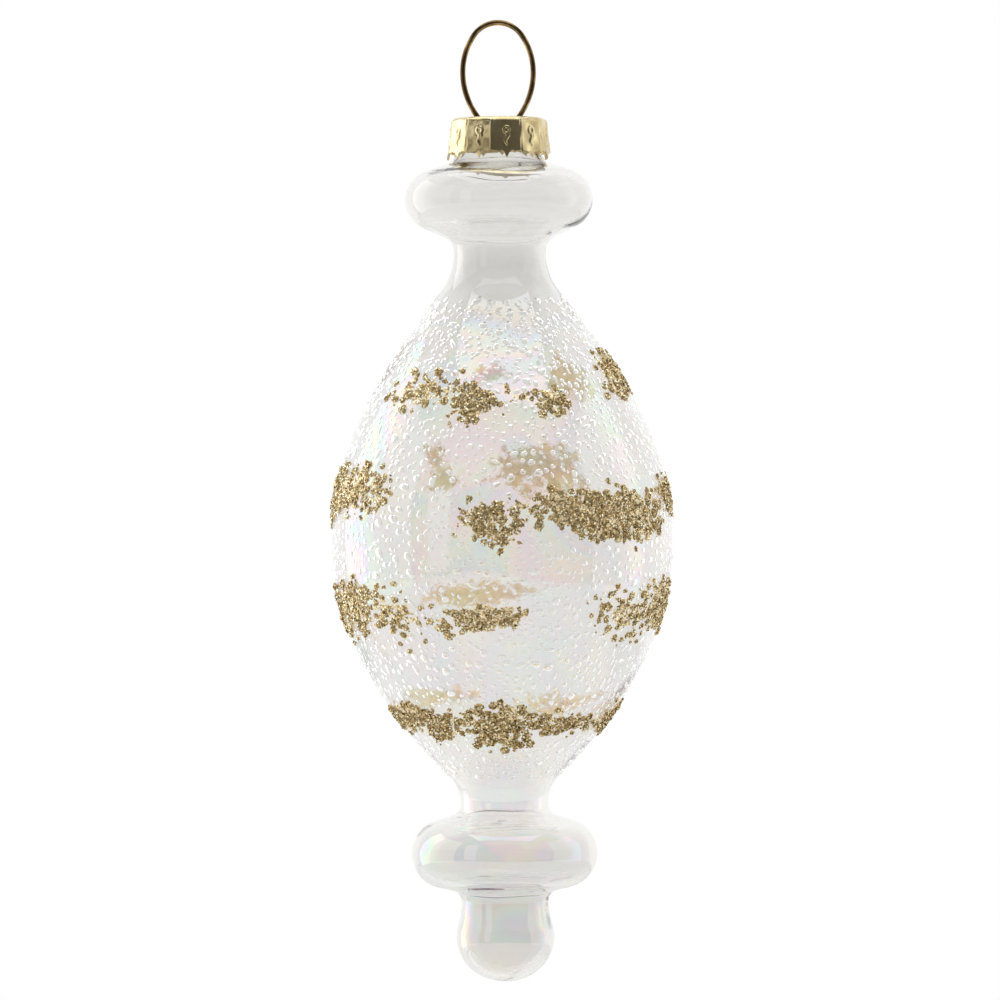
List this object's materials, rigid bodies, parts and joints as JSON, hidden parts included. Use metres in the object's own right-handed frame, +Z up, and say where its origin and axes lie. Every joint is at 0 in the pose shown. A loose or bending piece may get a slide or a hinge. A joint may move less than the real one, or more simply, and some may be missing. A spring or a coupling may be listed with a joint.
{
  "type": "icicle hanging ornament",
  "caption": "Hollow blown clear glass finial ornament with a frosting of clear drops, patches of gold glitter, a crimped gold cap and a wire hanging loop.",
  "frame": {"origin": "hook seat: underside of the wire at the top of the hanging loop, on the ornament's axis", "axes": "+Z up along the ornament's axis, +X across the hanging loop, -Y towards the front"},
  "size_m": [0.0507, 0.0506, 0.14],
  "materials": {
    "wire": "bright drawn wire",
    "cap": "bright pale gold",
    "glass": "clear with a faint pearly lustre",
    "drops": "clear, frosted with small drops",
    "glitter": "gold glitter"
  },
  "bodies": {
    "hanger": {"hanger_wire": "wire"},
    "cap": {"hanger_cap": "cap"},
    "glass": {"glass_stem": "glass", "glass_upper_disc": "glass", "glass_shoulder": "glass", "glass_belly": "glass", "glass_lower_taper": "glass", "glass_lower_disc": "glass", "glass_tip": "glass", "clear_drops": "drops", "glitter_upper_1": "glitter", "glitter_upper_2": "glitter", "glitter_upper_3": "glitter", "glitter_upper_4": "glitter", "glitter_upper_5": "glitter", "glitter_middle_1": "glitter", "glitter_middle_2": "glitter", "glitter_middle_3": "glitter", "glitter_middle_4": "glitter", "glitter_middle_5": "glitter", "glitter_middle_6": "glitter", "glitter_lower_1": "glitter", "glitter_lower_2": "glitter", "glitter_lower_3": "glitter", "glitter_lower_4": "glitter", "glitter_bottom_1": "glitter", "glitter_bottom_2": "glitter", "glitter_bottom_3": "glitter", "glitter_bottom_4": "glitter", "glitter_bottom_5": "glitter", "glitter_bottom_6": "glitter"}
  },
  "joints": [
    {"name": "cap_swing", "type": "hinge", "parent": "hanger", "child": "cap", "pos_m": [0, 0, -0.01369], "axis": [1, 0, 0], "range_deg": [-45, 45]},
    {"name": "glass_pull", "type": "slide", "parent": "cap", "child": "glass", "axis": [0, 0, -1], "range_m": [0, 0.015]}
  ]
}
